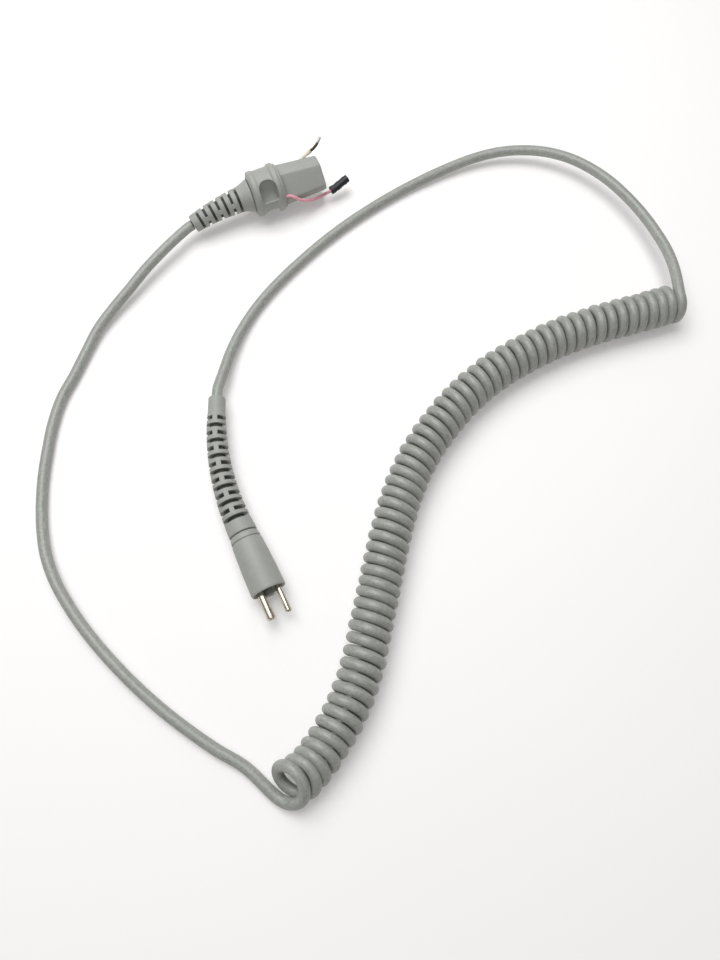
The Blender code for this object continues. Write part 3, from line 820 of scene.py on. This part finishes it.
def build_cord_ends(plug_axis, end_axis, finish):
    """The core round the cord inside each boot, seen through the slots, near-black with painted shade."""
    distances = np.arange(PLUG_CORE_START, plug_axis.length + GAP, CORE_STEP)
    core = plug_core()
    inner = tube("cord_in_plug_boot", [plug_axis.place(s) for s in distances],
                 [core(s) for s in distances], CORE_SIDES, finish)
    bending(inner, "cord", "plug", plug_axis.place(plug_axis.length - 2),
            plug_axis.place(SHELL_LENGTH + 1), "cord_end_in_plug")
    route = Line([end_frame() @ Vector((0, 0, z)) for z in (END_CORE_START, 2.0)]
                 + [end_axis.place(end_axis.length * k / 8) for k in range(9)])
    distances = np.arange(0.0, route.length + GAP, CORE_STEP)
    core = end_core()
    inner = tube("cord_in_handpiece_boot", [route.place(s) for s in distances],
                 [core(s - END_CORE_START) for s in distances], CORE_SIDES, finish)
    bending(inner, "tail", "handpiece_end", end_axis.place(end_axis.length),
            end_axis.place(0.5), "cord_end_in_handpiece_boot")


# --- plug -------------------------------------------------------------------------------
def build_shell(finish):
    """Moulded shell: rounded rim, slight taper, two grip grooves, hollow for the block."""
    outside = rounded([
        (0.25, 6.05), (0.0, 6.2), (0.0, 6.55), (0.6, 6.75), (9.0, 6.6), (16.0, 6.27),
        (18.6, 6.12), (20.7, 5.98), (20.85, 5.5), (21.4, 5.5), (21.55, 5.88),
        (23.5, 5.55), (23.75, 5.1), (SHELL_LENGTH, 5.1),
    ], 0.35)
    inside = [(SHELL_LENGTH, 2.6), (22.0, 2.6), (22.0, 3.4), (18.5, 3.6), (14.0, 5.4),
              (1.4, 5.4)]
    shape = turned(plug_frame(), outside + inside, 96, hoop=True)
    shell = add_piece("plug_shell_skin", shape, finish, 40)
    rigid(shell, "plug", "plug_shell")


def build_block(finish):
    """Recessed insulator with a half-round key standing between the two pins."""
    place = plug_frame()
    profile = rounded([
        (BLOCK_FACE, 0.6), (BLOCK_FACE, BLOCK_RADIUS - 0.15), (BLOCK_FACE + 0.2, BLOCK_RADIUS),
        (BLOCK_BACK, BLOCK_RADIUS), (BLOCK_BACK, 0.6)], 0.15)
    block = add_piece("contact_block", turned(place, profile, 64), finish)
    key = place @ shift(*KEY_PLACE)
    outline = [(-KEY_RADIUS, -KEY_DROP), (KEY_RADIUS, -KEY_DROP)]
    outline += arc(0.0, 0.0, KEY_RADIUS, 0.0, math.pi, 16)
    bar = loft([(key @ shift(z=KEY_FRONT), outline), (key @ shift(z=KEY_BACK), outline)])
    carve(block, bar, "UNION")
    holes = bmesh.new()
    for x, radius in PINS.values():
        hole = [(-1.0, radius + GAP), (BLOCK_BACK + 2.0, radius + GAP)]
        turned(place @ shift(x=x), hole, 40, holes)
    carve(block, holes)
    soften(block, 0.1)
    rigid(block, "plug", "plug_contact_block")


def build_pins(finish):
    """Two pins with a dimpled tip and, inside the plug, a solder cup."""
    cup_floor = CUP_BACK - CUP_DEPTH
    for name, (x, r) in PINS.items():
        profile = rounded([
            (-PIN_REACH + 1.4, 0.1), (-PIN_REACH + 1.2, 0.55 * r), (-PIN_REACH, 0.62 * r),
            (-PIN_REACH, 0.8 * r), (-PIN_REACH + 0.4, r), (CUP_BACK, r),
            (CUP_BACK, r - CUP_WALL), (cup_floor, r - CUP_WALL), (cup_floor, 0.1)], 0.12, 3)
        pin = add_piece(f"pin_{name}", turned(plug_frame() @ shift(x=x), profile, 48), finish, 30)
        rigid(pin, "plug", f"contact_pin_{name}")


# --- slotted boots ----------------------------------------------------------------------
def shaded_core_radius(slots_start, slots_end, wide, narrow):
    """Radius of the core inside a boot, down to which its slots are seen; its dark colour is painted shade.
    """
    def radius(s):
        part = min(max((s - slots_start) / (slots_end - slots_start), 0.0), 1.0)
        edge = min(max(min(s - slots_start, slots_end - s) / 2.0 + 1.0, 0.0), 1.0)
        full = wide + (narrow - wide) * part
        return CORD_RADIUS + (full - CORD_RADIUS) * edge
    return radius


def slotted_boot(name, line, profile, core, levels, slot, roll, finish):
    """A flexible boot: a tapered wall with pairs of slots, each level a quarter turn on."""
    outside = rounded(profile, 0.5, 3)
    start = profile[0][0]
    stop = profile[-1][0]
    spaced = []
    for (s, r), (s_next, r_next) in zip(outside, outside[1:]):
        parts = max(math.ceil((s_next - s) / OUTER_STEP), 1)
        spaced += [(s + (s_next - s) * k / parts, r + (r_next - r) * k / parts)
                   for k in range(parts)]
    spaced.append(outside[-1])
    steps = math.ceil((stop - start) / INNER_STEP)
    inner = [stop + (start - stop) * k / steps for k in range(steps + 1)]
    inside = [(s, core(s) + SKIN) for s in inner]
    wall = [(line.frame(s), circle(r, BOOT_SIDES)) for s, r in spaced + inside]
    boot = add_piece(name, loft(wall, hoop=True), finish)
    reach = profile[0][1] + 0.5
    slots = bmesh.new()
    for level, s in enumerate(levels):
        quarter = math.pi / 2 * ((level + 1) % 2)
        place = line.frame(s) @ Matrix.Rotation(roll + quarter, 4, "Z")
        for side in (-1, 1):
            middle = side * (WEB / 2 + reach / 2)
            box(place @ shift(x=middle), (reach, 2 * reach, slot), slots)
    carve(boot, slots)
    soften(boot, 0.16, 3, 45)
    return boot


def plug_core():
    start = SHELL_LENGTH + GAP + BOOT_NECK
    return shaded_core_radius(start, start + BOOT_LEVELS * BOOT_PITCH, *PLUG_CORE)


def end_core():
    return shaded_core_radius(END_NECK, END_NECK + END_LEVELS * END_PITCH, *END_CORE)


def build_plug_boot(line, finish):
    start = SHELL_LENGTH + GAP
    slots_start = start + BOOT_NECK
    slots_end = slots_start + BOOT_LEVELS * BOOT_PITCH
    profile = [
        (start, 5.35), (start + 0.2, 5.6), (start + 3.0, 5.45), (slots_start, 5.3),
        (slots_start + 20.0, 4.55), (slots_end - 1.0, 3.8), (slots_end + 1.5, 3.5),
        (line.length - 0.4, 3.45), (line.length, 3.2),
    ]
    first = slots_start - PLUG_SLOTS_LEAD
    pitch = (slots_end - first) / BOOT_LEVELS
    levels = [first + (level + 0.5) * pitch for level in range(BOOT_LEVELS)]
    boot = slotted_boot("plug_strain_relief", line, profile, plug_core(), levels,
                        PLUG_SLOT, 0.0, finish)
    bending(boot, "cord", "plug", line.place(line.length - 2), line.place(start + 1), "plug_boot")


def build_end_boot(line, finish):
    slots_end = END_NECK + END_LEVELS * END_PITCH
    profile = [
        (GAP, 7.0), (0.7, 6.95), (2.2, 6.3), (4.0, 5.6), (END_NECK + 1.0, 5.4),
        (END_NECK + 11.0, 4.6), (slots_end, 3.95), (line.length - 0.4, 3.8), (line.length, 3.5),
    ]
    levels = [END_NECK + (level + 0.5) * END_PITCH for level in range(END_LEVELS)]
    boot = slotted_boot("handpiece_strain_relief", line, profile, end_core(), levels,
                        END_SLOT, END_SLOT_ROLL - END_ROLL, finish)
    bending(boot, "tail", "handpiece_end", line.place(line.length), line.place(0.5),
            "handpiece_boot")


# --- handpiece end ----------------------------------------------------------------------
def arched_outline(width, height, crown, corner):
    """A window with a round top, towards -Y, and nearly square lower corners."""
    outline = []
    for quarter, radius in enumerate((corner, corner, crown, crown)):
        corner_x = (width / 2 - radius) * (1 if quarter in (0, 3) else -1)
        corner_y = (height / 2 - radius) * (1 if quarter in (0, 1) else -1)
        outline += arc(corner_x, corner_y, radius, math.pi / 2 * quarter, math.pi / 2, 8)
    return outline


def build_collar(finish):
    """Two flanges and a waist with latch pockets, each with a sloping upper wall."""
    place = rolled_frame()
    r = FLANGE_RADIUS
    outside = rounded([
        (0.0, 3.7), (0.0, 7.3), (1.0, r - 0.45), (2.7, r - 0.45), (3.4, r - 0.85),
        (10.0, r - 0.75), (10.6, r), (12.6, r), (12.9, r - 0.7), (TONGUE_BASE - 0.3, r - 0.75),
        (TONGUE_BASE, r - 1.0), (TONGUE_BASE, SPIGOT_RADIUS + GAP),
    ], 0.5)
    inside = [(12.4, SPIGOT_RADIUS + GAP), (12.4, 5.4), (9.5, 5.4), (8.0, 3.7)]
    collar = add_piece("collar_moulding", turned(place, outside + inside, 128, hoop=True),
                       finish, 40)
    pockets = bmesh.new()
    floor = arched_outline(*FLOOR_WINDOW)
    mouth = arched_outline(*MOUTH_WINDOW)
    for quarter in (1, 2, 3):
        side = place @ Matrix.Rotation(math.pi / 2 * quarter + POCKET_TURN, 4, "Z")
        # Seen from straight outside: Z runs out of the collar, X along it
        out = Matrix.Rotation(math.pi / 2, 4, "Y")
        look = side @ shift(x=POCKET_FLOOR, z=POCKET_MIDDLE) @ out
        loft([(look @ shift(y=FLOOR_OFFSET), floor), (look @ shift(z=MOUTH_HEIGHT), mouth),
              (look @ shift(z=6.0), mouth)], pockets)
    carve(collar, pockets)
    exits = bmesh.new()
    for x, y in (PINK_EXIT, CLEAR_EXIT):
        hole = [(TONGUE_BASE - 1.9, HOLE_RADIUS), (TONGUE_BASE + 2, HOLE_RADIUS)]
        turned(place @ shift(x, y), hole, 24, exits)
    carve(collar, exits)
    soften(collar, 0.25, 3, 45)
    rigid(collar, "handpiece_end", "handpiece_collar")


def chamfered_outline(width, height, cut, radius):
    """A rectangle with cut corners, large ones towards +X, and its eight edges rounded.

    cut is how much shorter the corners' legs are than UPPER_CHAMFER and LOWER_CHAMFER.
    """
    x = width / 2
    y = height / 2
    large = UPPER_CHAMFER - cut
    small = LOWER_CHAMFER - cut
    corners = [(x, y - large), (x - large, y), (small - x, y), (-x, y - small),
               (-x, small - y), (small - x, -y), (x - large, -y), (x, large - y)]
    outline = []
    for number, corner in enumerate(corners):
        first = math.pi / 4 * number
        middle = first + math.pi / 8
        back = radius / math.cos(math.pi / 8)
        centre_x = corner[0] - back * math.cos(middle)
        centre_y = corner[1] - back * math.sin(middle)
        outline += arc(centre_x, centre_y, radius, first, math.pi / 4, CORNER_STEPS)
    return outline


def build_tongue(finish):
    """The flat-sided tongue, its end edges rounded over, on the round spigot."""
    place = rolled_frame()
    base = TONGUE_BASE + TONGUE_GAP
    round_start = base + TONGUE_LENGTH - TIP_ROUND
    spigot = circle(SPIGOT_RADIUS, 8 * (CORNER_STEPS + 1))
    sections = [(place @ shift(z=SPIGOT_BACK), spigot), (place @ shift(z=TONGUE_BASE), spigot)]
    width, height = TONGUE_ROOT
    for inset, z in ((0.5, 0.0), (0.15, 0.12), (0.0, 0.5)):
        outline = chamfered_outline(width - 2 * inset, height - 2 * inset, 0.6 * inset,
                                    EDGE_RADIUS)
        sections.append((place @ shift(z=base + z), outline))
    straight_start = base + 0.5
    for k in range(1, 7):
        t = k / 6
        outline = chamfered_outline(width + (TONGUE_TIP[0] - width) * t,
                                    height + (TONGUE_TIP[1] - height) * t, 0.2 * t,
                                    EDGE_RADIUS)
        along = straight_start + (round_start - straight_start) * t
        sections.append((place @ shift(x=TONGUE_LEAN * t, z=along), outline))
    for k in range(1, 7):
        a = math.pi / 2 * k / 6
        inset = 1 - math.cos(a)
        outline = chamfered_outline(TONGUE_TIP[0] - 2 * inset, TONGUE_TIP[1] - 2 * inset,
                                    0.2 + 0.6 * inset, EDGE_RADIUS - 0.7 * inset)
        along = round_start + TIP_ROUND * math.sin(a)
        sections.append((place @ shift(x=TONGUE_LEAN, z=along), outline))
    tongue = add_piece("tongue_moulding", loft(sections), finish, 50)
    rigid(tongue, "handpiece_end", "handpiece_tongue")


def handpiece_line(points):
    """A line through points given in the tongue's frame."""
    return Line([rolled_frame() @ Vector(p) for p in points])


def lead_line(exit_point, sign, outside):
    """A lead's route from the ferrule in the collar out of its hole and on.

    sign is 1 for the pink lead's side of the collar and -1 for the clear lead's.
    """
    x, y = exit_point
    return handpiece_line([
        (-0.3 * sign, 0.9 * sign, 4.5), (-0.4 * sign, 1.2 * sign, 7.5),
        (-2.2 * sign, 3.8 * sign, 10.2), (-3.6 * sign, 5.3 * sign, 11.5),
        (x, y, 12.5), (x, y, 14.0), (x, y, 15.5), *outside,
    ])


def build_pink_lead(finish):
    route = lead_line(PINK_EXIT, 1, [
        (-6.3, 6.4, 17.2), (-8.2, 5.8, 19.6), (-9.5, 4.4, 22.6), (-10.0, 2.6, 26.2),
        (-9.8, 1.5, 29.8), (-9.4, 1.1, 32.5), (-9.0, 1.0, 34.9)])
    centres = sampled(route, 0, route.length + 0.8, LEAD_STEP)
    lead = tube("pink_lead", centres, [LEAD_RADIUS] * len(centres), LEAD_SIDES, finish)
    rigid(lead, "handpiece_end", "lead_pink")


def build_sleeve(finish):
    """A shrunk sleeve, uneven and slightly flat, over the pink lead's end."""
    axis = handpiece_line([
        (-9.0, 1.0, 35.0), (-8.3, 0.9, 37.8), (-7.2, 0.8, 40.9), (-6.2, 0.8, 44.0)])
    outside = []
    inside = []
    for k in range(SLEEVE_STEPS + 1):
        s = axis.length * k / SLEEVE_STEPS
        r = SLEEVE_RADIUS + 0.07 * math.sin(s * 1.9) + 0.04 * math.sin(s * 4.3 + 1.0)
        outside.append((axis.frame(s), [(1.06 * x, 0.95 * y) for x, y in circle(r, 40)]))
        inside.append((axis.frame(s), circle(SLEEVE_BORE, 40)))
    wall = outside + inside[::-1]
    sleeve = add_piece("shrink_sleeve", loft(wall, hoop=True), finish, 60)
    soften(sleeve, 0.08, 2, 60)
    rigid(sleeve, "handpiece_end", "heat_shrink_sleeve")


def build_clear_lead(finish):
    """The clear lead, whose insulation ends a little wider and uneven."""
    route = lead_line(CLEAR_EXIT, -1, [
        (4.8, -7.6, 19.0), (6.0, -7.6, 23.6), (7.6, -7.0, 28.2), (9.4, -6.4, 33.0)])
    centres = sampled(route, 0, route.length, LEAD_STEP)
    intact = len(centres) - FRAYED_STEPS
    frayed = [max(k - intact, 0) / FRAYED_STEPS for k in range(len(centres))]
    radii = [LEAD_RADIUS * (1.0 + 0.35 * f + 0.12 * math.sin(k * 1.9) * (f > 0))
             for k, f in enumerate(frayed)]
    lead = tube("clear_lead", centres, radii, LEAD_SIDES, finish)
    rigid(lead, "handpiece_end", "lead_clear")


def build_bare_strands(finish, tinned):
    """Twisted strands out of the clear lead, tinned towards their tips."""
    axis = handpiece_line([
        (9.3, -6.4, 32.7), (10.2, -6.6, 35.2), TINNED_FROM, (13.4, -8.2, 39.4)])
    strands = bmesh.new()
    for wire in range(STRANDS):
        middle = wire == STRANDS - 1
        sections = []
        for k in range(STRAND_STEPS + 1):
            s = axis.length * k / STRAND_STEPS
            spread = 0.0 if middle else STRAND_SPREAD + 0.09 * math.sin(s * 1.3 + wire)
            turn = wire * math.pi / 3 + s * 1.1
            offset = shift(spread * math.cos(turn), spread * math.sin(turn))
            sections.append((axis.frame(s) @ offset, circle(STRAND_RADIUS, 10)))
        loft(sections, strands)
    bare = add_piece("bare_strands", strands, finish, 50)
    bare.data.materials.append(tinned)
    tip_start = rolled_frame() @ Vector(TINNED_FROM)
    direction = (axis.place(axis.length) - axis.place(axis.length - 1)).normalized()
    for polygon in bare.data.polygons:
        if (polygon.center / MM - tip_start).dot(direction) > -0.3:
            polygon.material_index = 1
    rigid(bare, "handpiece_end", "clear_lead_strands")


def dress_inner_nodes(finishes):
    """Materials for the CAD nodes that stay as they are inside the mouldings."""
    for node, finish in finishes.items():
        piece = bpy.data.objects[node]
        piece.data.materials.clear()
        piece.data.materials.append(finish)


def main():
    add_camera()
    jacket = jacket_material()
    plug_axis = plug_line()
    end_axis = end_boot_line()
    build_cord(plug_axis, end_axis, jacket)
    add_studio()
    # the boot cores get a near-black grey: painted shade seen through the slots
    build_cord_ends(plug_axis, end_axis, moulded_material("boot_core_painted_shade", CORE_SHADE_GREY, 0.7))

    moulded = moulded_material("moulded_grey_plug", MOULDED_GREY, 0.5)
    rubber = moulded_material("moulded_grey_boots", MOULDED_GREY, 0.56, 0.00004)
    collar = moulded_material("moulded_grey_collar", MOULDED_GREY, 0.5)
    build_shell(moulded)
    # the contact block's darker grey is painted shade inside the shell's cup
    build_block(moulded_material("contact_block_painted_shade", BLOCK_SHADE_GREY, 0.55))
    build_pins(metal_material("nickel_plated_pins", NICKEL, 0.2))
    build_plug_boot(plug_axis, rubber)
    build_end_boot(end_axis, rubber)
    build_collar(collar)
    build_tongue(collar)
    pink = insulation_material("pink_insulation", PINK, 0.35, 0.0)
    cream = insulation_material("clear_insulation", CREAM, 0.28, 0.35)
    tinned = metal_material("tinned_strand_tips", TINNED, 0.35)
    copper = metal_material("dull_copper_strands", STRAND_BROWN, 0.45)
    build_pink_lead(pink)
    build_sleeve(sleeve_material())
    build_clear_lead(cream)
    build_bare_strands(copper, tinned)
    solder = metal_material("solder", SOLDER, 0.38)
    dress_inner_nodes({
        "solder_joint_large": solder, "solder_joint_small": solder,
        "plug_lead_pink": pink, "plug_lead_clear": cream, "pink_lead_strands": copper,
        "plug_crimp_ferrule": tinned, "handpiece_crimp_ferrule": tinned,
    })


main()
